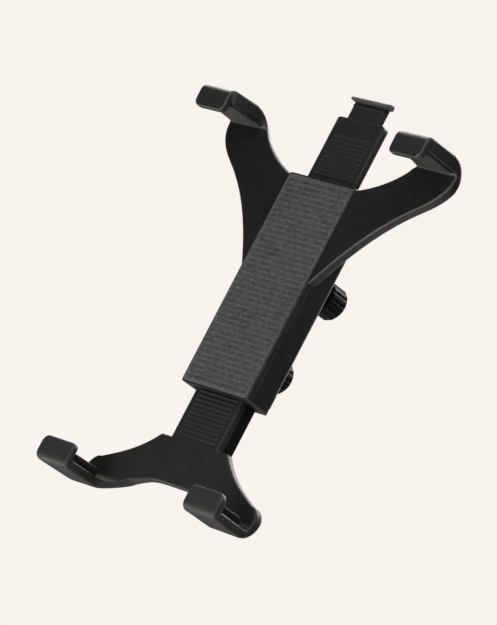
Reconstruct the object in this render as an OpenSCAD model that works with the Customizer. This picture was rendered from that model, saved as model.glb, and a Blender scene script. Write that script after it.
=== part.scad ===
// Adjustable tablet holder for a car headrest arm.
// Two V arms with claws grip the tablet's top edge, a ribbed slide with two more claws grips its
// bottom edge, and a clamping socket on the back takes the round stem of the headrest arm.
// Axes: +X to the holder's right as the user faces it, +Z up along the slide, -Y towards the user.
// The origin is the middle of the stem bore.

/* [Body] */
// Width of the body
body_w = 41.4; // [40:0.2:50]
// Height of the body along the slide
body_h = 100.2; // [96:0.2:110]
// Depth from the pad's face to the back of the body
body_back = 15.8; // [15.8:0.1:18]
// Wall thickness of the rear housing
wall = 1.4; // [1.2:0.1:1.6]
// Thickness of the textured front pad
pad_t = 1.5; // [1.2:0.1:1.8]
// Distance between the ribs of the pad
pad_pitch = 2.4; // [2:0.1:4]

/* [Arms] */
// Thickness of the arms and of the lower bracket
arm_t = 5; // [4:0.2:6]
// Outer reach of the upper claws from the middle
upper_reach = 70; // [66:0.5:78]
// Height of the upper claw walls' inner face above the body's middle
upper_wall_z = 66.2; // [64:0.2:72]
// Depth from the upper arms' face to the front of their lips
upper_claw_h = 23.5; // [20:0.5:28]

/* [Slide] */
// Width of the ribbed slide
slide_w = 29.2; // [24:0.2:29.6]
// Distance between the ribs of the slide
rib_pitch = 2; // [1.6:0.2:4]
// Outer reach of the lower claws from the middle
lower_reach = 57; // [54:0.5:64]
// Inner face of the lower claw walls below the body's middle
lower_wall_z = 101; // [100:0.2:104]
// Depth from the bracket's face to the front of the lower lips
lower_claw_h = 25; // [20:0.5:28]

/* [Stem clamp and lock] */
// Height of the stem clamp above the body's middle
clamp_z = 10; // [6:0.5:20]
// Radius of the bore that takes the stem
stem_r = 4.1; // [3.9:0.1:4.3]
// Outer radius of the collar nut and of the lock knob
knob_r = 7.5; // [7.2:0.1:9]
// Number of finger grooves round each knob
groove_count = 14; // [10:1:16]
// Height of the lock knob below the body's middle
lock_z = 29.5; // [26:0.5:34]

/* [Hidden] */
$fn = 48;

// Depths, measured back from the pad's face
frame_face = 1;
cover_back = 3.2;
pad_seat = pad_t;
slide_face = 4.8;
slide_back = slide_face + 3.4;
rib_rise = 0.45;
rail_front = slide_back + 0.05;
rail_t = 1;
back_wall_face = body_back - 1.5;
screw_seat = body_back - 4.5;
rail_back = back_wall_face - 0.3;
parting = 7.2;

// Half sizes and clearances
hw = body_w / 2;
hh = body_h / 2;
gap = 0.2;
pad_margin = 0.7;
channel_hw = slide_w / 2 + gap;
guide_t = 1;
screw_x = (channel_hw + guide_t + hw - wall) / 2;
screw_z = hh - 6;
screw_r = 0.98;
rail_screw_z = [22, -66, -84];

// Claw sections
lip_t = 3.3;
upper_lip = 5.2;
lower_lip = 6.8;
upper_claw_wall = 6.3;
upper_draft = 0.5;
lower_claw_wall = 4.2;
fillet_r = 1.5;
lip_bend_r = 3.3;
front_edge_r = 1;
back_edge_r = 2;
// The outer side of the bend from an arm into its claw, at the claw's tip and at its root: size
// along the arm, size along the claw, and fullness from 0 to 0.55, which is round
upper_bend = [[10.5, 10.5, 0.55], [12, 13.5, 0.45]];
lower_bend = [[10, 10, 0.55], [7.5, 10, 0.28]];
// At a claw's tip and at its root: how far the arm's back lags its face there, the inner radius of
// the bend, and the lip's corner radius
upper_lean = [2.2, 2];
lower_lean = [1.6, -1.7];
upper_foot_r = [1.5, 1.5];
lower_foot_r = [3.5, 5];
lip_corner_r = [3.5, 2.4];
// How far a claw's root spreads out at its foot, and the least height of a foot
upper_flare = 0.5;
lower_flare = 9;
foot_rise = 4;
upper_liner_t = 1.2;
lower_liner_t = 3.6;
lower_liner_foot = 6.5;

// Stem clamp, measured back from the pad's face
bore_floor = 21;
bore_len = 12;
bore_mid = bore_floor + bore_len / 2;
socket_foot = bore_floor - 4.5;
nut_start = 29.4;
nut_end = 39.6;
nut_lip = 1.9;
ring_end = nut_end - nut_lip - 0.1;
seat_end = ring_end - 1;

// Lock, measured back from the pad's face
shoe_face = rail_front + rail_t + 0.15;
shoe_back = shoe_face + 3;
boss_back = 18.4;
knob_start = 19.2;
knob_end = 32;

plastic = [0.13, 0.13, 0.135];
pad_grey = [0.30, 0.30, 0.31];
rubber_grey = [0.27, 0.27, 0.28];
black_steel = [0.04, 0.04, 0.045];
zinc = [0.62, 0.62, 0.60];
brass = [0.72, 0.56, 0.26];

// Shared geometry

// The part's origin is the middle of the stem bore
module place() {
    translate([0, -bore_mid, -clamp_z]) children();
}

// Point on a cubic curve with four control points
function curve(p, t) =
    pow(1 - t, 3) * p[0] + 3 * pow(1 - t, 2) * t * p[1] + 3 * (1 - t) * t * t * p[2] + pow(t, 3) * p[3];

function curve_points(p, n) = [for (i = [0:n]) curve(p, i / n)];

function unit(v) = v / norm(v);

// Points of an arc about a centre
function arc(c, r, a0, a1, n) = [for (i = [0:n]) let (a = a0 + (a1 - a0) * i / n) c + r * [cos(a), sin(a)]];

// Rectangle with rounded corners, as a list of points
function rounded_rect(w, h, r, n = 4) = concat(
    arc([w / 2 - r, h / 2 - r], r, 0, 90, n), arc([r - w / 2, h / 2 - r], r, 90, 180, n),
    arc([r - w / 2, r - h / 2], r, 180, 270, n), arc([w / 2 - r, r - h / 2], r, 270, 360, n));

// Solid through a list of rings with the same number of points
module loft(rings) {
    n = len(rings[0]);
    m = len(rings);
    points = [for (ring = rings) for (p = ring) p];
    sides = [for (k = [0:m - 2]) for (i = [0:n - 1]) let (j = (i + 1) % n)
        each [[k * n + i, k * n + j, (k + 1) * n + j], [k * n + i, (k + 1) * n + j, (k + 1) * n + i]]];
    first = [for (i = [0:n - 1]) n - 1 - i];
    last = [for (i = [0:n - 1]) (m - 1) * n + i];
    polyhedron(points, concat([first], sides, [last]));
}

// Ring with rounded corners through the four corners of a strap's cross-section, front pair first
function strap_ring(corners, front_r, back_r) =
    [for (k = [0:3]) let (
            p = corners[k], r = k < 2 ? front_r : back_r,
            from = unit(corners[(k + 3) % 4] - p), to = unit(corners[(k + 1) % 4] - p))
        for (a = [0:22.5:90]) p + r * (1 - sin(a)) * from + r * (1 - cos(a)) * to];

// How far a rounded corner of radius r draws back from the straight side at a distance d from its end
function corner_inset(r, d) = d < r ? r - sqrt(r * r - (r - d) * (r - d)) : 0;

// Claw that turns up from an arm: wall, bend and lip, as strap rings.
// x0 and x1 are its ends at the arm, taper draws them together towards the lip, flare spreads the
// root's foot, and draft thins the wall towards the lip.
function claw_rings(x0, x1, taper0, taper1, flare, face, wall_z, wall_out, draft, foot_r, bend,
        lip_end, height) =
    let (
        back = face + arm_t, front = face - height, under = front + lip_t, end_z = wall_z - lip_end,
        foot = [for (r = foot_r) concat(arc([wall_z - r, face - r], r, 90, 0, 5),
            [for (t = [0.5, 1]) [wall_z, face - r - t * (max(flare, foot_rise) - r)]])],
        lip_d = [3.5, 2.4, 1.4, 0.7, 0.25, 0],
        lip_y = [0, 0, 0, 0.08, 0.35, 1],
        crook = concat(
            arc([wall_z - fillet_r, under + fillet_r], fillet_r, 0, -90, 4),
            [for (k = [0:5]) [end_z + lip_d[k], under - 0.8 * lip_y[k]]]),
        lip = concat(
            arc([wall_out - draft - lip_bend_r, front + lip_bend_r], lip_bend_r, 0, -90, 4),
            [for (k = [0:5]) [end_z + lip_d[k], front + lip_y[k]]]),
        back_bend = [for (b = bend) curve_points([[wall_out - b[0], back], [wall_out - b[0] * (1 - b[2]), back],
            [wall_out, back - b[1] * (1 - b[2])], [wall_out, back - b[1]]], 7)],
        inner = [for (k = [0, 1]) concat(foot[k], crook)],
        outer = [for (k = [0, 1]) concat(back_bend[k], lip)],
        share = [0, 0.08, 0.16, 0.24, 0.32, 0.4, 0.46, 0.52, 0.85, 0.93, 0.98, 1, 1, 1, 1, 1, 1, 1, 1],
        back_r = [2, 1.95, 1.9, 1.8, 1.7, 1.6, 1.5, 1.4, 1, 1, 1, 1, 1, 1, 1, 1, 0.95, 0.75, 0.5])
    [for (i = [0:len(share) - 1]) let (
            p = inner[0][i], q = inner[1][i],
            e0 = x0 + taper0 * share[i] - corner_inset(flare, face - q[1])
                + corner_inset(lip_corner_r[1], q[0] - end_z),
            e1 = x1 - taper1 * share[i] * share[i] - corner_inset(lip_corner_r[0], p[0] - end_z))
        strap_ring([[e1, p[1], p[0]], [e0, q[1], q[0]], [e0, outer[1][i][1], outer[1][i][0]],
            [e1, outer[0][i][1], outer[0][i][0]]], min(front_edge_r, back_r[i]), back_r[i])];

// Flat strap between an outer and an inner edge, as rings; the edges are points in X and Z
function strap_rings(outer, inner, face, lean) =
    [for (i = [0:len(outer) - 1]) let (
            o = outer[i], n = inner[i], back = face + arm_t, share = pow(i / (len(outer) - 1), 6))
        strap_ring([[o[0], face, o[1]], [n[0], face, n[1]],
            [n[0], back, n[1] - lean[1] * share], [o[0], back, o[1] - lean[0] * share]],
            front_edge_r, back_edge_r)];

// Edges of the upper arm on the right, from inside the cover to the foot of its claw
arm_outer = concat(
    curve_points([[19, 1.5], [30, 21.5], [42.5, 37], [58.5, 48.2]], 9),
    [for (i = [1:6]) curve([[58.5, 48.2], [63.6, 51.8], [68, 56], [69.6, 61.5]], i / 6)]);
arm_inner = curve_points([[12, 47.4], [26, 50], [36.2, 55.6], [42.8, 62.4]], 15);

module upper_arm() {
    loft(concat(
        strap_rings(arm_outer, arm_inner, frame_face, upper_lean),
        claw_rings(upper_reach - 25, upper_reach, 6, 0.4, upper_flare, frame_face, upper_wall_z,
            upper_wall_z + upper_claw_wall, upper_draft, upper_foot_r, upper_bend, upper_lip, upper_claw_h)));
}

module mirrored_pair() {
    children();
    mirror([1, 0, 0]) children();
}

// Plate standing in the X-Z plane between two depths
module upright(y0, y1) {
    translate([0, y1, 0]) rotate([90, 0, 0]) linear_extrude(y1 - y0) children();
}

module front_frame() {
    color(plastic) {
        difference() {
            union() {
                upright(frame_face, cover_back) polygon(rounded_rect(body_w, body_h, 1.5));
                difference() {
                    mirrored_pair() upper_arm();
                    translate([-hw - 0.1, cover_back - 0.05, -hh - 1]) cube([body_w + 0.2, 10, body_h + 2]);
                }
            }
            upright(0, pad_seat)
                polygon(rounded_rect(body_w - 2 * pad_margin + 0.3, body_h - 2 * pad_margin + 0.3, 1.2));
        }
        frame_bosses();
        slide_ledges();
        stop_bar();
        lock_teeth();
    }
}

// Bosses that the housing screws cut into
module frame_bosses() {
    for (sx = [-1, 1], sz = [-1, 1]) translate([sx * screw_x, 0, sz * screw_z]) difference() {
        rotate([-90, 0, 0]) translate([0, 0, cover_back - 0.2]) cylinder(r = 1.6, h = parting - cover_back);
        rotate([-90, 0, 0]) translate([0, 0, cover_back + 0.2]) cylinder(r = screw_r + 0.02, h = 5);
    }
}

// Two ledges that hold the slide's edges from the front
module slide_ledges() {
    for (sx = [-1, 1]) translate([sx * (slide_w / 2 - 1.6) - 1, cover_back - 0.2, 3 - hh])
        cube([2, slide_face - cover_back, body_h - 6]);
}

// Bar under the cover's top end that catches the lip of the slide's snap tongue
module stop_bar() {
    translate([-11, cover_back - 0.2, hh - 2.2])
        cube([22, slide_face - rib_rise - 0.3 - cover_back + 0.2, 2.2]);
}

// Teeth under the cover, opposite the lock's shoe, that the slide's ribs are pressed into
module lock_teeth() {
    count = 12;
    rise = 0.4;
    foot = cover_back - 0.2;
    top = slide_face - rib_rise - 0.3;
    z0 = -lock_z - count * rib_pitch / 2;
    profile = concat([[foot, z0]],
        [for (i = [0:count - 1]) each [[top - rise, z0 + i * rib_pitch], [top, z0 + (i + 0.5) * rib_pitch]]],
        [[top - rise, z0 + count * rib_pitch], [foot, z0 + count * rib_pitch]]);
    translate([-10, 0, 0]) rotate([90, 0, 90]) linear_extrude(20) polygon(profile);
}

// Pad with cross ribs inside a plain border, stuck in the cover's shallow recess
module front_pad() {
    w = body_w - 2 * pad_margin;
    h = body_h - 2 * pad_margin;
    border = 1.2;
    half_field = h / 2 - border;
    rise = 0.45;
    crest = 0.55;
    count = floor((h - 3) / pad_pitch);
    z0 = -count * pad_pitch / 2;
    ridge = concat([[pad_seat, -half_field - 0.5], [rise, -half_field - 0.5]],
        [for (i = [0:count - 1]) let (z = z0 + i * pad_pitch)
            each [[rise, z + 0.35], [0.1, z + 0.7], [0, z + 0.7 + crest / 2], [0.1, z + 0.7 + crest],
                [rise, z + 2.1]]],
        [[rise, half_field + 0.5], [pad_seat, half_field + 0.5]]);
    color(pad_grey) union() {
        translate([0.3 + border - w / 2, 0, 0]) rotate([90, 0, 90])
            linear_extrude(w - 2 * border - 0.6) polygon(ridge);
        difference() {
            upright(0.1, pad_seat) polygon(rounded_rect(w, h, 1));
            upright(-1, rise) polygon(rounded_rect(w - 2 * border, 2 * half_field, 0.5));
        }
    }
}

// Rubber liner on the inner wall of a claw, between two ends, narrowed by taper towards the lip;
// foot is its distance from the arm's face
module claw_liner(x0, x1, taper, foot, face, wall_z, height, thickness) {
    y0 = face - height + lip_t + fillet_r;
    y1 = face - foot;
    color(rubber_grey) loft([for (edge = [[0, 0.9], [0.25, 0.35], [0.9, 0], [thickness, 0]])
        [for (p = [[x0, y1, 1, -1], [x0 + taper, y0, 1, 1], [x1, y0, -1, 1], [x1, y1, -1, -1]])
            [p[0] + edge[1] * p[2], p[1] + edge[1] * p[3], wall_z - thickness + edge[0]]]]);
}

module upper_right_liner() {
    claw_liner(upper_reach - 22, upper_reach - 2, 3.8, upper_foot_r[0], frame_face, upper_wall_z, upper_claw_h,
        upper_liner_t);
}

module upper_left_liner() {
    mirror([1, 0, 0]) upper_right_liner();
}

module lower_right_liner() {
    mirror([0, 0, 1])
        claw_liner(lower_reach - 20, lower_reach - 4.2, 1, lower_liner_foot, slide_face, lower_wall_z,
            lower_claw_h, lower_liner_t);
}

module lower_left_liner() {
    mirror([1, 0, 0]) lower_right_liner();
}

// Cross-section of the rear housing: a tray with rounded back corners
module housing_section(inset, back) {
    r = 2.4 - inset;
    y0 = cover_back + (inset > 0 ? -1 : 0);
    polygon(concat(
        [[hw - inset, y0]], arc([hw - inset - r, back - r], r, 0, 90, 6),
        arc([inset + r - hw, back - r], r, 90, 180, 6), [[inset - hw, y0]]));
}

module rear_housing() {
    color(plastic) difference() {
        union() {
            difference() {
                intersection() {
                    translate([0, 0, -hh]) linear_extrude(body_h) housing_section(0, body_back);
                    upright(0, body_back + 1) polygon(rounded_rect(body_w, body_h, 1.5));
                }
                translate([0, 0, wall - hh]) linear_extrude(body_h - 2 * wall)
                    housing_section(wall, back_wall_face);
            }
            slide_guides();
            housing_posts();
            // Raised seats of the lock and of the stem clamp
            at_back(0, -lock_z) cylinder(r = 6, h = boss_back - back_wall_face, $fn = 64);
            at_back(0, clamp_z) cylinder(r = 9.4, h = socket_foot - back_wall_face, $fn = 64);
        }
        // Ways through the end walls for the slide at the top, and the slide with its rail at the bottom
        translate([-channel_hw, cover_back - 1, hh - wall - 1])
            cube([2 * channel_hw, slide_back + 1.5 - cover_back, 4]);
        translate([-channel_hw, cover_back - 1, -hh - 1])
            cube([2 * channel_hw, back_wall_face + 1 - cover_back, wall + 2]);
        // Hole for the lock's insert, and hole and key recess for the socket
        at_back(0, -lock_z) translate([0, 0, -1]) cylinder(r = 3.5, h = 20);
        at_back(0, clamp_z) translate([0, 0, -1]) cylinder(r = 2.2, h = 20);
        translate([-4.6, socket_foot - 1, clamp_z - 4.6]) cube([9.2, 5, 9.2]);
        // Screw holes with counterbores
        for (sx = [-1, 1], sz = [-1, 1]) translate([sx * screw_x, 0, sz * screw_z]) rotate([-90, 0, 0]) {
            translate([0, 0, 2]) cylinder(r = 1.1, h = body_back);
            translate([0, 0, screw_seat]) cylinder(r = 1.95, h = 10);
        }
    }
}

// Where a part stands on the inner face of the back wall, pointing back
module at_back(x, z) {
    translate([x, back_wall_face, z]) rotate([-90, 0, 0]) children();
}

// Long ribs inside the housing that guide the slide's edges
module slide_guides() {
    for (sx = [-1, 1])
        translate([sx * (channel_hw + guide_t / 2) - guide_t / 2, cover_back + 0.1, wall - hh - 0.2])
            cube([guide_t, back_wall_face - cover_back, body_h - 2 * wall + 0.4]);
}

module housing_posts() {
    w = hw - channel_hw - 0.5;
    for (sx = [-1, 1], sz = [-1, 1])
        translate([sx * (channel_hw + 0.2 + w / 2) - w / 2, parting + 0.1, sz * screw_z - 3])
            cube([w, back_wall_face - parting + 0.5, 6]);
}

// Pan head screw with a cross recess, tip towards -Z and head top at the origin
module pan_screw(r, length, head_r, head_h) {
    difference() {
        union() {
            translate([0, 0, -head_h]) cylinder(r = head_r, h = head_h);
            translate([0, 0, -head_h - length]) cylinder(r = r, h = length + 0.1);
        }
        for (a = [0, 90]) rotate(a) translate([-head_r * 0.6, -0.2, -head_h * 0.6])
            cube([head_r * 1.2, 0.4, head_h]);
    }
}

module housing_screws() {
    color(zinc) for (sx = [-1, 1], sz = [-1, 1]) translate([sx * screw_x, screw_seat + 1.4, sz * screw_z])
        rotate([-90, 0, 0]) pan_screw(screw_r, screw_seat - cover_back - 0.8, 1.8, 1.4);
}

// Knurled brass insert with the lock screw's thread
module lock_insert() {
    length = boss_back - back_wall_face - 0.2;
    color(brass) at_back(0, -lock_z) difference() {
        translate([0, 0, 0.1]) union() {
            cylinder(r = 3.3, h = length);
            for (h = [0, length - 1.4]) translate([0, 0, h]) cylinder(r = 3.5, h = 1.4);
        }
        translate([0, 0, -1]) cylinder(r = 2.56, h = 10);
    }
}

// Socket for the stem: square key, neck, threaded end and conical seat
module mount_socket() {
    color(plastic) difference() {
        union() {
            translate([-4.5, socket_foot - 0.95, clamp_z - 4.5]) cube([9, 1.2, 9]);
            at_clamp() rotate_extrude($fn = 64) polygon([
                [0, socket_foot], [8.6, socket_foot], [8.6, socket_foot + 1.2], [7, socket_foot + 3.6],
                [6.4, socket_foot + 7], [6.4, nut_start - 1.4], [5.9, nut_start - 0.9], [5.9, seat_end],
                [0, seat_end]]);
        }
        at_clamp() rotate_extrude($fn = 64) polygon([
            [0, bore_floor], [stem_r, bore_floor], [stem_r, bore_floor + bore_len],
            [stem_r + 0.73, bore_floor + bore_len], [stem_r + 1.12, seat_end], [stem_r + 1.12, seat_end + 1],
            [0, seat_end + 1]]);
        at_clamp() translate([0, 0, socket_foot - 2]) cylinder(r = 1.67, h = 5.8);
    }
}

// Where the stem clamp's axis runs, pointing back from the pad's face
module at_clamp() {
    translate([0, 0, clamp_z]) rotate([-90, 0, 0]) children();
}

module socket_screw() {
    head_h = 1.7;
    color(zinc) translate([0, back_wall_face - head_h, clamp_z]) rotate([90, 0, 0])
        pan_screw(1.65, 5.6, 3.6, head_h);
}

// Split ring that the nut presses into the conical seat round the stem
module clamp_ring() {
    bore = stem_r + 0.3;
    foot = bore_floor + bore_len + 0.3;
    color(rubber_grey) difference() {
        at_clamp() rotate_extrude($fn = 64) polygon([
            [bore, foot], [bore + 0.35, foot], [bore + 0.7, seat_end + 0.1], [bore + 1.15, seat_end + 0.1],
            [bore + 1.15, ring_end], [bore, ring_end]]);
        translate([-0.5, foot - 1, clamp_z]) cube([1, 8, 8]);
    }
}

// Finger grooves cut round a knob
module grooves(length) {
    for (i = [0:groove_count - 1]) rotate(360 / groove_count * i) translate([knob_r + 0.75, 0, -1])
        cylinder(r = 1.25, h = length + 2, $fn = 24);
}

// Nut with finger grooves that closes the socket round the stem
module collar_nut() {
    length = nut_end - nut_start;
    color(plastic) at_clamp() translate([0, 0, nut_start]) difference() {
        rotate_extrude($fn = 64) polygon([
            [5.96, 0], [knob_r - 0.8, 0], [knob_r, 0.8], [knob_r, length - 0.9], [knob_r - 0.9, length],
            [stem_r + 0.9, length], [stem_r + 0.3, length - 0.6], [stem_r + 0.3, length - nut_lip],
            [5.96, length - nut_lip]]);
        grooves(length);
    }
}

// Fine cross ribs on the face of the slide
module slide_ribs() {
    half = 11;
    top = 72.4;
    count = floor(144 / rib_pitch);
    foot = slide_face + 0.3;
    profile = concat([[foot, top]],
        [for (i = [0:count - 1]) let (z = top - i * rib_pitch)
            each [[slide_face + 0.02, z - 0.3], [slide_face - rib_rise, z - 0.75],
                [slide_face - rib_rise, z - 1.15], [slide_face + 0.02, z - 1.6]]],
        [[foot, top - count * rib_pitch]]);
    translate([-half, 0, 0]) rotate([90, 0, 90]) linear_extrude(2 * half) polygon(profile);
}

// Edges of the lower bracket's right half, from its middle to the foot of its claw, with Z down
bracket_outer = concat(
    [[0, 72.9], [12, 72.9], [20.4, 72.9]],
    curve_points([[20.9, 73.3], [29, 82], [38, 86], [47.6, 90.2]], 9),
    arc([lower_reach - 11, lower_wall_z - 3.9], 7.4, -62, 0, 4));
bracket_inner = concat(
    [[0, 92.7], [6, 92.7], [10, 92.8]],
    curve_points([[12, 93], [17, 93.4], [20.5, 95.4], [25.4, 95.9]], 14));

// Lower bracket with its two claws: one strap from lip to lip
module lower_bracket() {
    half = concat(
        strap_rings(bracket_outer, bracket_inner, slide_face, lower_lean),
        claw_rings(lower_reach - 22.4, lower_reach - 3.6, 2.2, -3.6, lower_flare, slide_face, lower_wall_z,
            lower_wall_z + lower_claw_wall, 0, lower_foot_r, lower_bend, lower_lip, lower_claw_h));
    other = [for (i = [len(half) - 1:-1:1]) [for (p = half[i]) [-p[0], p[1], p[2]]]];
    mirror([0, 0, 1]) loft(concat(other, half));
}

// Snap tongue at the slide's top, whose lip stops the slide at full reach
module snap_tongue() {
    profile = [[slide_back, 78], [slide_back, 91.2], [slide_back - 1.6, 91.2], [3.6, 89.8], [3.6, 88.7],
        [slide_face + 0.5, 88.7], [slide_face + 0.5, 87.6], [slide_face + 0.1, 87.2], [slide_face + 0.1, 86.6],
        [slide_face + 0.5, 86.2], [slide_face + 0.5, 78]];
    intersection() {
        translate([-15, 0, 0]) rotate([90, 0, 90]) linear_extrude(30) polygon(profile);
        upright(0, 10) polygon([[9.2, 77], [9.2, 88.7], [10.9, 88.7], [10.9, 90.6], [10.3, 91.3], [-10.3, 91.3],
            [-10.9, 90.6], [-10.9, 88.7], [-9.2, 88.7], [-9.2, 77]]);
    }
}

module slider() {
    shoulder = 80.5;
    foot = -90;
    section = concat(
        arc([slide_w / 2 - 0.8, slide_back - 0.8], 0.8, 90, 0, 3),
        arc([slide_w / 2 - 1.1, slide_face + 1.1], 1.1, 0, -90, 4),
        arc([1.1 - slide_w / 2, slide_face + 1.1], 1.1, -90, -180, 4),
        arc([0.8 - slide_w / 2, slide_back - 0.8], 0.8, 180, 90, 3));
    color(plastic) difference() {
        union() {
            intersection() {
                translate([0, 0, foot]) linear_extrude(shoulder - foot) polygon(section);
                upright(0, 20) polygon(concat([[slide_w / 2, foot - 1]],
                    arc([slide_w / 2 - 2.2, shoulder - 2.2], 2.2, 0, 90, 5),
                    arc([2.2 - slide_w / 2, shoulder - 2.2], 2.2, 90, 180, 5), [[-slide_w / 2, foot - 1]]));
            }
            slide_ribs();
            snap_tongue();
            lower_bracket();
        }
        // Pocket in the bracket's back for the end of the rail
        translate([-slide_w / 2 + 0.1, slide_back, -89]) cube([slide_w - 0.2, 10, 20]);
        for (z = rail_screw_z) translate([0, slide_back - 2, z]) rotate([-90, 0, 0])
            cylinder(r = screw_r + 0.02, h = 5);
    }
}

// Steel channel that stiffens the lower part of the slide
module slider_rail() {
    half = slide_w / 2 - 0.4;
    r = 1.2;
    foot = -88.6;
    section = concat([[half, rail_back]], arc([half - r, rail_front + r], r, 0, -90, 4),
        arc([r - half, rail_front + r], r, -90, -180, 4), [[-half, rail_back], [rail_t - half, rail_back]],
        [[rail_t - half, rail_front + rail_t + 0.4], [rail_t - half + 0.4, rail_front + rail_t]],
        [[half - rail_t - 0.4, rail_front + rail_t], [half - rail_t, rail_front + rail_t + 0.4]],
        [[half - rail_t, rail_back]]);
    color(black_steel) difference() {
        translate([0, 0, foot]) linear_extrude(26 - foot) polygon(section);
        for (z = rail_screw_z) translate([0, rail_front - 1, z]) rotate([-90, 0, 0]) cylinder(r = 1.15, h = 4);
    }
}

module rail_screws() {
    color(zinc) for (z = rail_screw_z) translate([0, rail_front + rail_t + 1.4, z])
        rotate([-90, 0, 0]) pan_screw(screw_r, 2.9, 1.9, 1.4);
}

// Shoe that the lock screw presses on the slide's rail
module lock_shoe() {
    w = 16;
    color(plastic) translate([0, 0, -lock_z]) difference() {
        union() {
            intersection() {
                translate([-w / 2, shoe_face, -w / 2]) cube([w, 2, w]);
                upright(0, 20) polygon(rounded_rect(w, w, 2));
            }
            translate([0, shoe_face, 0]) rotate([-90, 0, 0]) cylinder(r = 4.2, h = shoe_back - shoe_face);
        }
        translate([0, shoe_face - 1, 0]) rotate([-90, 0, 0]) cylinder(r = 1.8, h = 6);
        translate([0, shoe_face - 1, 0]) rotate([-90, 0, 0]) cylinder(r = 3.4, h = 2.3);
    }
}

// Spring clip in the screw's groove, in front of the shoe's step
module lock_clip() {
    color(black_steel) translate([0, shoe_face + 0.55, -lock_z]) rotate([-90, 0, 0]) difference() {
        cylinder(r = 2.9, h = 0.6);
        translate([0, 0, -1]) cylinder(r = 1.32, h = 3);
        translate([-0.9, 0, -1]) cube([1.8, 5, 3]);
        for (a = [-120, 120]) rotate(a) translate([-0.5, 1.9, -1]) cube([1, 2, 3]);
    }
}

module lock_screw() {
    color(zinc) translate([0, 0, -lock_z]) rotate([-90, 0, 0]) rotate_extrude($fn = 48) polygon([
        [0, shoe_face + 0.3], [1.5, shoe_face + 0.3], [1.72, shoe_face + 0.5], [1.3, shoe_face + 0.5],
        [1.3, shoe_face + 1.2], [1.72, shoe_face + 1.2], [1.72, shoe_back + 0.1], [2.5, shoe_back + 0.1],
        [2.5, knob_end - 3], [0, knob_end - 3]]);
}

module lock_knob() {
    length = knob_end - knob_start;
    neck = 2.6;
    color(plastic) translate([0, knob_start, -lock_z]) rotate([-90, 0, 0]) difference() {
        rotate_extrude($fn = 64) polygon([
            [0, 0], [5.2, 0], [5.2, neck - 0.8], [6, neck], [knob_r - 0.8, neck], [knob_r, neck + 0.8],
            [knob_r, length - 1.1], [knob_r - 1.1, length], [5.2, length], [4.6, length - 0.5],
            [0, length - 0.5]]);
        translate([0, 0, -1]) cylinder(r = 2.5, h = length - 2);
        translate([0, 0, neck]) grooves(length);
    }
}

place() front_frame();
place() front_pad();
place() upper_left_liner();
place() upper_right_liner();
place() rear_housing();
place() housing_screws();
place() lock_insert();
place() mount_socket();
place() socket_screw();
place() slider();
place() slider_rail();
place() rail_screws();
place() lower_left_liner();
place() lower_right_liner();
place() lock_shoe();
place() lock_clip();
place() lock_screw();
place() lock_knob();
place() clamp_ring();
place() collar_nut();
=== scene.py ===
import math

import bmesh
import bpy
from mathutils import Matrix, Vector, noise


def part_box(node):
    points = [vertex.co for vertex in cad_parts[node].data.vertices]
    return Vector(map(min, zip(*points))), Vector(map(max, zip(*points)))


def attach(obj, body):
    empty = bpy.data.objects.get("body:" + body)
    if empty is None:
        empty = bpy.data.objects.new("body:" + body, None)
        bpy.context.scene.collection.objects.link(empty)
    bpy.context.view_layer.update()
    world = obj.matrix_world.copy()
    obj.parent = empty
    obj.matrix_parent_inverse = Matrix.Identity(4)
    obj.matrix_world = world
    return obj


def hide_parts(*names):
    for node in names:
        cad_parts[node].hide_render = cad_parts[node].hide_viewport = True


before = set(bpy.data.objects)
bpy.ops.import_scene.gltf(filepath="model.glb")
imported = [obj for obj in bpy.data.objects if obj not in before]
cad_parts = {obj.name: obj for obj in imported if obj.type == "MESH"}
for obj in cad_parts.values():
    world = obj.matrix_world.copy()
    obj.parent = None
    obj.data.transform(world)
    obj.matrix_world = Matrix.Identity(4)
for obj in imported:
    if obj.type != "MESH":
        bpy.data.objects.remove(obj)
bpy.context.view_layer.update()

scene = bpy.context.scene
scene.view_settings.view_transform = "Standard"


# Camera: solved from the photo, long lens, right of the front and a little below

SENSOR_MM = 36
LENS_MM = 256.3
CAMERA_PLACE = (1.3336, -1.2497, -0.3596)
CAMERA_RIGHT = (0.66091, 0.59737, 0.45425)
CAMERA_BACK = (0.72528, -0.66393, -0.18213)


def make_camera():
    data = bpy.data.cameras.new("camera")
    data.sensor_fit = "AUTO"
    data.sensor_width = SENSOR_MM
    data.lens = LENS_MM
    data.clip_start = 0.1
    data.clip_end = 20
    camera = bpy.data.objects.new("camera", data)
    scene.collection.objects.link(camera)
    right = Vector(CAMERA_RIGHT)
    back = Vector(CAMERA_BACK).normalized()
    up = back.cross(right).normalized()
    right = up.cross(back)
    turn = Matrix((right, up, back)).transposed().to_4x4()
    camera.matrix_world = Matrix.Translation(CAMERA_PLACE) @ turn
    scene.camera = camera


# Materials

BEVEL_SAMPLES = 8


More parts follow.
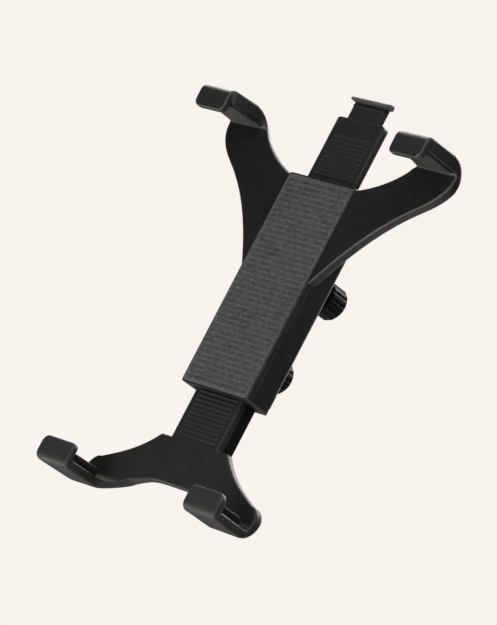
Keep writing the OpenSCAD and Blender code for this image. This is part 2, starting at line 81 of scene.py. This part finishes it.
class Net:
    """A small helper to write a node tree from top to bottom."""

    def __init__(self, name):
        self.material = bpy.data.materials.new(name)
        self.material.use_nodes = True
        self.nodes = self.material.node_tree.nodes
        self.links = self.material.node_tree.links
        self.nodes.clear()
        self.out = self.nodes.new("ShaderNodeOutputMaterial")
        self.shader = self.nodes.new("ShaderNodeBsdfPrincipled")
        self.links.new(self.shader.outputs[0], self.out.inputs[0])
        self.coord = self.nodes.new("ShaderNodeTexCoord").outputs["Object"]

    def feed(self, socket, value):
        if isinstance(value, bpy.types.NodeSocket):
            self.links.new(value, socket)
        else:
            socket.default_value = value

    def math(self, operation, a, b=0.0):
        node = self.nodes.new("ShaderNodeMath")
        node.operation = operation
        for socket, value in zip(node.inputs, (a, b)):
            self.feed(socket, value)
        return node.outputs[0]

    def split(self, vector):
        node = self.nodes.new("ShaderNodeSeparateXYZ")
        self.feed(node.inputs[0], vector)
        return node.outputs

    def noise(self, scale, detail=2.0, roughness=0.5):
        node = self.nodes.new("ShaderNodeTexNoise")
        node.inputs["Scale"].default_value = scale
        node.inputs["Detail"].default_value = detail
        node.inputs["Roughness"].default_value = roughness
        self.links.new(self.coord, node.inputs["Vector"])
        return node.outputs["Fac"]

    def span(self, value, low, high, to_low, to_high):
        node = self.nodes.new("ShaderNodeMapRange")
        for name, given in (("Value", value), ("From Min", low), ("From Max", high),
                            ("To Min", to_low), ("To Max", to_high)):
            self.feed(node.inputs[name], given)
        return node.outputs["Result"]

    def mix(self, share, a, b):
        node = self.nodes.new("ShaderNodeMix")
        node.data_type = "RGBA"
        self.feed(node.inputs[0], share)
        for socket, value in zip(node.inputs[6:8], (a, b)):
            self.feed(socket, value if isinstance(value, bpy.types.NodeSocket) else (*value, 1))
        return node.outputs[2]

    def bump(self, height, distance, normal=None):
        node = self.nodes.new("ShaderNodeBump")
        node.inputs["Strength"].default_value = 1.0
        node.inputs["Distance"].default_value = distance
        self.links.new(height, node.inputs["Height"])
        if normal is not None:
            self.links.new(normal, node.inputs["Normal"])
        return node.outputs[0]

    def rounded(self, radius):
        """Normal of the surface with its edges rounded, as a moulding's are."""
        node = self.nodes.new("ShaderNodeBevel")
        node.samples = BEVEL_SAMPLES
        node.inputs["Radius"].default_value = radius
        return node.outputs[0]

    def set(self, **values):
        for name, value in values.items():
            self.feed(self.shader.inputs[name.replace("_", " ")], value)
        return self.material


# Places that the finishes refer to, in metres
PAD_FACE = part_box("front_pad")[0][1]
PAD_RISE = 0.00045
PAD_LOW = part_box("front_pad")[0][2]
# Band along the pad's lower end that is painted paler, as painted light.
PAD_PAINTED_LIGHT_BAND = (PAD_LOW + 0.0004, PAD_LOW + 0.0016)
LIP_REACH = (PAD_FACE - 0.019, PAD_FACE - 0.006)
TAB_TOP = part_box("slider")[1][2]
# Height of the tab's top bar, which is painted paler as painted light.
TAB_BAR = (TAB_TOP - 0.0030, TAB_TOP - 0.0022)


def grey(value):
    return (value, value, value)


GRAIN = 0.00002


def moulded_plastic(name, dark, light, roughness, radius, ior=1.46,
                    lip_painted_light=None, top_bar_painted_light=None, edge=None):
    """Moulded plastic with a fine spark-eroded grain, slow shade variation and rounded edges.
    The last three arguments are paler greys: painted light on the claws' lips, which stand out to
    the front, painted light on the tab's top bar, and a painted highlight on the rolled edges of
    the arms."""
    net = Net(name)
    cloud = net.noise(22, 3)
    fine = net.noise(2600, 2, 0.6)
    flow = net.noise(160, 2)
    mottle = net.math("ADD", net.math("MULTIPLY", cloud, 0.7), net.math("MULTIPLY", fine, 0.3))
    shade = net.span(mottle, 0.3, 0.7, 0.0, 1.0)
    colour = net.mix(shade, grey(dark), grey(light))
    _, y, z = net.split(net.coord)
    # Painted light: the claws' lips, which stand out to the front, are painted paler in uneven
    # patches.
    if lip_painted_light:
        lip_light_share = net.span(y, *LIP_REACH, 1.0, 0.0)
        lip_light_patchiness = net.span(cloud, 0.25, 0.75, 0.7, 1.0)
        colour = net.mix(net.math("MULTIPLY", lip_light_share, lip_light_patchiness), colour, grey(lip_painted_light))
    # Painted highlight: faces turned between the front and the side, the rolled edges, are painted
    # paler.
    if edge:
        coords = net.nodes.new("ShaderNodeTexCoord")
        facing = net.math("MULTIPLY", net.split(coords.outputs["Normal"])[1], -1.0)
        off_side = net.span(facing, 0.15, 0.40, 0.0, 1.0)
        off_front = net.span(facing, 0.80, 0.95, 1.0, 0.0)
        colour = net.mix(net.math("MULTIPLY", off_side, off_front), colour, grey(edge))
    # Painted light: the tab's top bar, which tilts up, is painted paler.
    if top_bar_painted_light:
        above = net.span(z, *TAB_BAR, 0.0, 1.0)
        colour = net.mix(above, colour, grey(top_bar_painted_light))
    rough = net.math("ADD", net.span(flow, 0.3, 0.7, -0.035, 0.035), roughness)
    normal = net.bump(fine, GRAIN, net.rounded(radius))
    return net.set(Base_Color=colour, Roughness=rough, Normal=normal, IOR=ior)


def pad_finish(name, crest, valley):
    """Matt rubber, with painted shade down between its ribs and painted light in a paler band
    along its lower end, with uneven rows of short dashes."""
    net = Net(name)
    x, y, z = net.split(net.coord)
    # Mask for the painted shade between the ribs: 0 on the crests, 1 on the ground between them.
    depth = net.span(y, PAD_FACE, PAD_FACE + PAD_RISE, 0.0, 1.0)
    sway_x = net.math("MULTIPLY", net.math("SUBTRACT", net.noise(520, 2), 0.5), 0.0030)
    sway_z = net.math("MULTIPLY", net.math("SUBTRACT", net.noise(430, 2), 0.5), 0.0012)
    place = net.nodes.new("ShaderNodeCombineXYZ")
    net.feed(place.inputs[0], net.math("ADD", x, sway_x))
    net.feed(place.inputs[1], net.math("ADD", z, sway_z))
    brick = net.nodes.new("ShaderNodeTexBrick")
    net.links.new(place.outputs[0], brick.inputs["Vector"])
    brick.offset = 0.37
    for socket, value in (("Color1", (0.28, 0.28, 0.28, 1)), ("Color2", (0.80, 0.80, 0.80, 1)),
                          ("Mortar", (0.0, 0.0, 0.0, 1)), ("Scale", 1000.0), ("Mortar Size", 0.11),
                          ("Mortar Smooth", 1.0), ("Brick Width", 1.5), ("Row Height", 1.2)):
        brick.inputs[socket].default_value = value
    dashes = net.split(brick.outputs["Color"])[0]
    speckle = net.noise(1700, 2, 0.6)
    cloud = net.noise(35, 3)
    tone = net.math("ADD", dashes, net.span(speckle, 0.3, 0.7, -0.20, 0.32))
    tone = net.math("ADD", tone, net.span(cloud, 0.3, 0.7, -0.08, 0.08))
    # Painted shade: the deeper the face lies between the ribs, the darker.
    tone = net.math("SUBTRACT", tone, net.math("MULTIPLY", depth, 0.36))
    # Painted light: a paler band along the pad's lower end.
    tone = net.math("ADD", tone, net.span(z, *PAD_PAINTED_LIGHT_BAND, 0.35, 0.0))
    colour = net.mix(net.span(tone, -0.35, 1.0, 0.0, 1.0), grey(valley), grey(crest))
    height = net.math("ADD", net.math("MULTIPLY", dashes, 0.5), net.math("MULTIPLY", speckle, 0.5))
    return net.set(Base_Color=colour, Roughness=0.74, Normal=net.bump(height, 0.00011), IOR=1.4)


def liner_finish(name, dark, light, pitch, ior=1.4):
    """Matt rubber with small pips in rows."""
    net = Net(name)
    x, y, _ = net.split(net.coord)
    across = net.math("SINE", net.math("MULTIPLY", x, 2 * math.pi / pitch))
    along = net.math("SINE", net.math("MULTIPLY", y, 2 * math.pi / pitch))
    pips = net.math("MULTIPLY", net.math("ADD", across, 1.0), net.math("ADD", along, 1.0))
    fine = net.noise(2200, 2, 0.6)
    cloud = net.noise(60, 3)
    shade = net.math("ADD", net.math("MULTIPLY", pips, 0.1), net.math("MULTIPLY", fine, 0.4))
    shade = net.math("ADD", shade, net.span(cloud, 0.3, 0.7, -0.15, 0.15))
    colour = net.mix(net.span(shade, 0.0, 0.8, 0.0, 1.0), grey(dark), grey(light))
    height = net.math("ADD", net.math("MULTIPLY", pips, 0.2), net.math("MULTIPLY", fine, 0.2))
    return net.set(Base_Color=colour, Roughness=0.7, Normal=net.bump(height, 0.00007), IOR=ior)


def turned_metal(name, colour, roughness):
    """Metal with fine turning marks and small scratches."""
    net = Net(name)
    marks = net.noise(900, 2)
    scratch = net.noise(4200, 1)
    shade = net.mix(net.span(marks, 0.35, 0.65, 0.0, 1.0), colour, tuple(c * 0.82 for c in colour))
    rough = net.math("ADD", net.span(marks, 0.3, 0.7, -0.06, 0.06), roughness)
    normal = net.bump(scratch, 0.000008)
    return net.set(Base_Color=shade, Metallic=1.0, Roughness=rough, Normal=normal)


# The black plastic: painted light on the claws' lips and a painted highlight on the rolled edges.
black = moulded_plastic("black_plastic", 0.0052, 0.0078, 0.46, 0.0007, lip_painted_light=0.0155, edge=0.040)
# The housing's plastic is a darker copy of the black plastic: its extra darkness is painted shade
# over the whole housing.
back_black_with_painted_shade = moulded_plastic("housing_plastic_with_painted_shade", 0.0035, 0.0055, 0.48, 0.0005)
# The slide's plastic is a paler copy of the black plastic: its extra paleness is painted light, on
# top of painted light on its lips and on the tab's top bar.
slide_black_with_painted_light = moulded_plastic("slide_plastic_with_painted_light", 0.0092, 0.0125, 0.54, 0.0010, ior=1.38,
                              lip_painted_light=0.0200, top_bar_painted_light=0.075)
rail_black = moulded_plastic("rail_coating", 0.0016, 0.0026, 0.55, 0.0003, ior=1.25)
knob_black = moulded_plastic("knob_plastic", 0.0030, 0.0048, 0.62, 0.0003, ior=1.25)
pad_rubber = pad_finish("pad_rubber", 0.090, 0.012)
liner_rubber = liner_finish("liner_rubber", 0.024, 0.040, 0.0012)
dark_liner = liner_finish("dark_liner_rubber", 0.006, 0.012, 0.0012, 1.2)
ring_plastic = moulded_plastic("ring_plastic", 0.12, 0.15, 0.4, 0.0002)
steel = turned_metal("screw_steel", (0.42, 0.42, 0.43), 0.32)
brass = turned_metal("insert_brass", (0.62, 0.43, 0.17), 0.3)

FINISH = {
    "front_frame": black, "rear_housing": back_black_with_painted_shade, "mount_socket": black, "slider": slide_black_with_painted_light,
    "lock_shoe": black, "collar_nut": knob_black, "lock_knob": knob_black,
    "slider_rail": rail_black, "front_pad": pad_rubber,
    "upper_left_liner": liner_rubber, "upper_right_liner": liner_rubber,
    "lower_left_liner": dark_liner, "lower_right_liner": dark_liner,
    "clamp_ring": ring_plastic, "lock_insert": brass,
    "housing_screws": steel, "socket_screw": steel, "rail_screws": steel, "lock_screw": steel,
    "lock_clip": steel,
}


# Smooth shading of the mouldings

def smooth_group(limit):
    """Joins the faces' points and marks as sharp only the edges that bend more than the limit."""
    group = bpy.data.node_groups.new("smooth_by_angle", "GeometryNodeTree")
    group.interface.new_socket("Geometry", in_out="INPUT", socket_type="NodeSocketGeometry")
    group.interface.new_socket("Geometry", in_out="OUTPUT", socket_type="NodeSocketGeometry")
    start = group.nodes.new("NodeGroupInput")
    end = group.nodes.new("NodeGroupOutput")
    merge = group.nodes.new("GeometryNodeMergeByDistance")
    merge.inputs["Distance"].default_value = 1e-6
    angle = group.nodes.new("GeometryNodeInputMeshEdgeAngle")
    sharp = group.nodes.new("FunctionNodeCompare")
    sharp.operation = "GREATER_THAN"
    sharp.inputs["B"].default_value = limit
    normals = group.nodes.new("GeometryNodeSetMeshNormal")
    normals.mode = "SHARPNESS"
    normals.inputs["Remove Custom"].default_value = True
    group.links.new(start.outputs[0], merge.inputs["Geometry"])
    group.links.new(angle.outputs["Unsigned Angle"], sharp.inputs["A"])
    group.links.new(merge.outputs["Geometry"], normals.inputs["Mesh"])
    group.links.new(sharp.outputs[0], normals.inputs["Edge Sharpness"])
    group.links.new(normals.outputs[0], end.inputs[0])
    return group


SMOOTH_UP_TO = math.radians(32)

smooth = smooth_group(SMOOTH_UP_TO)
for node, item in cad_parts.items():
    item.data.materials.clear()
    item.data.materials.append(FINISH[node])
    item.modifiers.new("smooth", "NODES").node_group = smooth
    weighted = item.modifiers.new("flat_stays_flat", "WEIGHTED_NORMAL")
    weighted.keep_sharp = True


# Rubber pieces, each in the place of its plain solid

def add_piece(name, mesh, node, body, finish):
    piece = bpy.data.objects.new(name, mesh)
    scene.collection.objects.link(piece)
    mesh.materials.append(finish)
    for face in mesh.polygons:
        face.use_smooth = True
    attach(piece, body)
    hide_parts(node)


# The pad's shape, in millimetres
RIB_PITCH = 2.4
RIB_ROOT = 0.45  # depth of the ground between two ribs, below their crests
# One rib's profile: way along the pitch, and depth below the crest
RIDGE = ((0.0, RIB_ROOT), (0.35, RIB_ROOT), (0.7, 0.1), (0.97, 0.0), (1.25, 0.1), (2.1, 0.42),
         (RIB_PITCH, RIB_ROOT))
KNUCKLE = 2.2  # length along the rib
KNUCKLE_SHIFT = 7.3  # from one rib to the next, in knuckles
KNUCKLE_SWAY = 0.35
KNUCKLE_WEAR = 0.08
NOTCH_DEPTH = 0.14
NOTCH_STEEPNESS = 5  # a notch reaches a fifth of a knuckle to each side
PAD_CORNER = 1.0
PAD_ROLL = 0.9
PAD_BORDER = 1.2
BORDER_DEPTH = 0.1
BORDER_BLEND = 0.35
PLAIN_ENDS = 3  # without ribs, both ends together
PAD_COLUMNS, PAD_ROWS = 136, 410


def rib_depth(x, z, first):
    """Depth of the pad's face below its crest: cross ribs cut into short knuckles."""
    row, part = divmod(z - first, RIB_PITCH)
    for (a, deep_a), (b, deep_b) in zip(RIDGE, RIDGE[1:]):
        if part <= b:
            depth = deep_a + (deep_b - deep_a) * (part - a) / (b - a)
            break
    sway = KNUCKLE_SWAY * noise.noise((x * 0.5, row * 5.7, 0))
    place = x / KNUCKLE + KNUCKLE_SHIFT * row + sway
    knuckle, along = divmod(place, 1.0)
    notch = max(0.0, 1 - min(along, 1 - along) * NOTCH_STEEPNESS)
    lower = KNUCKLE_WEAR * noise.cell((knuckle + 0.5, row + 0.5, 0.5))
    return min(RIB_ROOT, depth + NOTCH_DEPTH * notch + lower)


def ribbed_pad():
    """The pad as a fine surface: a rolled outer edge, a plain border, then ribs in knuckles."""
    low, high = [[1000 * c for c in corner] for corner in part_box("front_pad")]
    half_w, half_h = (high[0] - low[0]) / 2, (high[2] - low[2]) / 2
    mid_x, mid_z = (high[0] + low[0]) / 2, (high[2] + low[2]) / 2
    count = int((2 * half_h - PLAIN_ENDS) // RIB_PITCH)
    first = -count * RIB_PITCH / 2
    bm = bmesh.new()
    grid = []
    for j in range(PAD_ROWS + 1):
        z = half_h * (2 * j / PAD_ROWS - 1)
        over = max(0.0, abs(z) - (half_h - PAD_CORNER))
        side = half_w - PAD_CORNER + math.sqrt(max(0.0, PAD_CORNER ** 2 - over ** 2))
        line = []
        for i in range(PAD_COLUMNS + 1):
            x = side * (2 * i / PAD_COLUMNS - 1)
            rim = min(side - abs(x), half_h - abs(z))
            if rim < PAD_ROLL:
                fall = math.sqrt(PAD_ROLL ** 2 - (PAD_ROLL - rim) ** 2)
                depth = BORDER_DEPTH + PAD_ROLL - fall
            elif rim < PAD_BORDER:
                depth = BORDER_DEPTH
            else:
                blend = min(1.0, (rim - PAD_BORDER) / BORDER_BLEND)
                depth = BORDER_DEPTH + (rib_depth(x, z, first) - BORDER_DEPTH) * blend
            point = ((mid_x + x) / 1000, (low[1] + depth) / 1000, (mid_z + z) / 1000)
            line.append(bm.verts.new(point))
        grid.append(line)
    for j in range(PAD_ROWS):
        for i in range(PAD_COLUMNS):
            bm.faces.new((grid[j][i], grid[j][i + 1], grid[j + 1][i + 1], grid[j + 1][i]))
    rim = grid[0] + [line[-1] for line in grid[1:]]
    rim += grid[-1][-2::-1] + [line[0] for line in grid[-2:0:-1]]
    back = [bm.verts.new((v.co.x, high[1] / 1000, v.co.z)) for v in rim]
    for k, v in enumerate(rim):
        after = (k + 1) % len(rim)
        bm.faces.new((v, back[k], back[after], rim[after]))
    bm.faces.new(back)
    bmesh.ops.recalc_face_normals(bm, faces=bm.faces)
    mesh = bpy.data.meshes.new("ribbed_pad")
    bm.to_mesh(mesh)
    bm.free()
    add_piece("ribbed_pad", mesh, "front_pad", "holder", pad_rubber)


# The liners' shape, in metres
LINER_VOXEL = 0.0003
LINER_RIB_PITCH = 0.0016
LINER_RIB_DEPTH = 0.00007


def soft_liner(node, body, finish):
    """A claw's liner with soft edges, and shallow grip ribs across its face."""
    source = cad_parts[node]
    rough = bpy.data.objects.new("rough", source.data.copy())
    scene.collection.objects.link(rough)
    weld = rough.modifiers.new("weld", "WELD")
    weld.merge_threshold = 1e-6
    remesh = rough.modifiers.new("remesh", "REMESH")
    remesh.mode = "VOXEL"
    remesh.voxel_size = LINER_VOXEL
    soften = rough.modifiers.new("soften", "SMOOTH")
    soften.iterations = 4
    seen = rough.evaluated_get(bpy.context.evaluated_depsgraph_get())
    mesh = bpy.data.meshes.new_from_object(seen)
    mesh.name = node + "_soft"
    low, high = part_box(node)
    for v in mesh.vertices:
        wave = 0.5 + 0.5 * math.sin(2 * math.pi * (v.co.y - low[1]) / LINER_RIB_PITCH)
        depth = LINER_RIB_DEPTH * wave * abs(v.normal.z) ** 2
        v.co = [min(max(c, a), b) for c, a, b in zip(v.co - v.normal * depth, low, high)]
    bpy.data.objects.remove(rough)
    mesh.materials.clear()
    add_piece(node + "_soft", mesh, node, body, finish)


ribbed_pad()
for side in ("left", "right"):
    soft_liner(f"upper_{side}_liner", "holder", liner_rubber)
    soft_liner(f"lower_{side}_liner", "slide", dark_liner)


# Floor, world and lamps

FLOOR_Z = -1.30
FLOOR_HALF = 9
FLOOR_LIFT = 0.7
BACKDROP = (0.92, 0.90, 0.84)
WORLD_LIGHT = 0.30


def seen_share(nodes, links):
    """1 for what the camera sees, straight or through a gloss or glass."""
    path = nodes.new("ShaderNodeLightPath")
    share = path.outputs["Is Camera Ray"]
    for ray in ("Is Glossy Ray", "Is Transmission Ray"):
        either = nodes.new("ShaderNodeMath")
        either.operation = "MAXIMUM"
        links.new(share, either.inputs[0])
        links.new(path.outputs[ray], either.inputs[1])
        share = either.outputs[0]
    return share


def rectangle(name, half_w, half_h, z=0):
    signs = ((-1, -1), (1, -1), (1, 1), (-1, 1))
    corners = [(a * half_w, b * half_h, z) for a, b in signs]
    mesh = bpy.data.meshes.new(name)
    mesh.from_pydata(corners, [], [(0, 1, 2, 3)])
    return mesh


def make_floor():
    """Pale paper well below the object, lifted towards the backdrop's colour, shadows kept."""
    mesh = rectangle("floor", FLOOR_HALF, FLOOR_HALF, FLOOR_Z)
    floor = bpy.data.objects.new("floor", mesh)
    scene.collection.objects.link(floor)
    net = Net("floor_paper")
    cloud = net.span(net.noise(3, 3), 0.3, 0.7, 0.0, 1.0)
    tone = net.mix(cloud, (0.80, 0.79, 0.76), (0.84, 0.83, 0.80))
    mesh.materials.append(net.set(Base_Color=tone, Roughness=0.8))
    lift = net.nodes.new("ShaderNodeEmission")
    lift.inputs[0].default_value = (*BACKDROP, 1)
    mixer = net.nodes.new("ShaderNodeMixShader")
    share = net.math("MULTIPLY", seen_share(net.nodes, net.links), FLOOR_LIFT)
    net.links.new(share, mixer.inputs[0])
    net.links.new(net.shader.outputs[0], mixer.inputs[1])
    net.links.new(lift.outputs[0], mixer.inputs[2])
    net.links.new(mixer.outputs[0], net.out.inputs[0])


def make_world():
    """Even soft light, with a pale backdrop for the camera and for gloss and glass."""
    world = bpy.data.worlds.new("studio")
    scene.world = world
    world.use_nodes = True
    nodes, links = world.node_tree.nodes, world.node_tree.links
    nodes.clear()
    out = nodes.new("ShaderNodeOutputWorld")
    seen = nodes.new("ShaderNodeBackground")
    seen.inputs[0].default_value = (*BACKDROP, 1)
    light = nodes.new("ShaderNodeBackground")
    light.inputs[0].default_value = (1, 1, 1, 1)
    light.inputs[1].default_value = WORLD_LIGHT
    mixer = nodes.new("ShaderNodeMixShader")
    links.new(seen_share(nodes, links), mixer.inputs[0])
    links.new(light.outputs[0], mixer.inputs[1])
    links.new(seen.outputs[0], mixer.inputs[2])
    links.new(mixer.outputs[0], out.inputs[0])


def turn_towards(place, aim):
    return (Vector(aim) - Vector(place)).to_track_quat("-Z", "Y").to_euler()


def area_lamp(name, place, aim, size, power):
    data = bpy.data.lights.new(name, "AREA")
    data.shape = "RECTANGLE"
    data.size, data.size_y = size
    data.energy = power
    lamp = bpy.data.objects.new(name, data)
    lamp.location = place
    lamp.rotation_euler = turn_towards(place, aim)
    lamp.visible_camera = False
    scene.collection.objects.link(lamp)


def black_card(name, place, aim, size):
    """A dark studio card that shows only in what mirrors it."""
    mesh = rectangle(name, size[0] / 2, size[1] / 2)
    card = bpy.data.objects.new(name, mesh)
    card.location = place
    card.rotation_euler = turn_towards(place, aim)
    scene.collection.objects.link(card)
    net = Net(name)
    tone = net.mix(net.noise(8), grey(0.010), grey(0.014))
    mesh.materials.append(net.set(Base_Color=tone, Roughness=0.9))
    card.visible_camera = card.visible_diffuse = False
    card.visible_shadow = card.visible_transmission = False


MIDDLE = (0, 0, 0)
CARDS = (  # name, place, aim, size
    ("front_card", (-0.95, -0.87, 0.10), MIDDLE, (2.0, 1.7)),
    ("side_card", (0.90, 0.85, 0.15), MIDDLE, (1.5, 1.5)),
    ("right_card", (0.95, -0.87, -0.15), MIDDLE, (1.3, 0.9)),
    ("low_back_card", (-0.95, 0.87, -0.26), MIDDLE, (0.9, 0.7)),
)
LAMPS = (  # name, place, aim, size, power in watts
    ("key_lamp", (1.0, -1.5, 1.5), MIDDLE, (0.9, 0.9), 21),
    ("low_lamp", (0.15, -0.80, -0.55), MIDDLE, (0.8, 0.4), 6.8),
    ("low_left_lamp", (-0.42, -0.07, -0.46), (0, 0, -0.05), (0.3, 0.22), 0.9),
    ("top_strip_lamp", (-0.05, 0.80, 0.86), MIDDLE, (0.7, 0.45), 11),
    ("top_left_lamp", (-0.85, 0.22, 0.80), MIDDLE, (0.5, 0.4), 4.0),
    ("back_lamp", (-0.75, 1.35, 0.75), MIDDLE, (1.8, 1.6), 14),
)

make_camera()
make_floor()
make_world()
for card in CARDS:
    black_card(*card)
for lamp in LAMPS:
    area_lamp(*lamp)
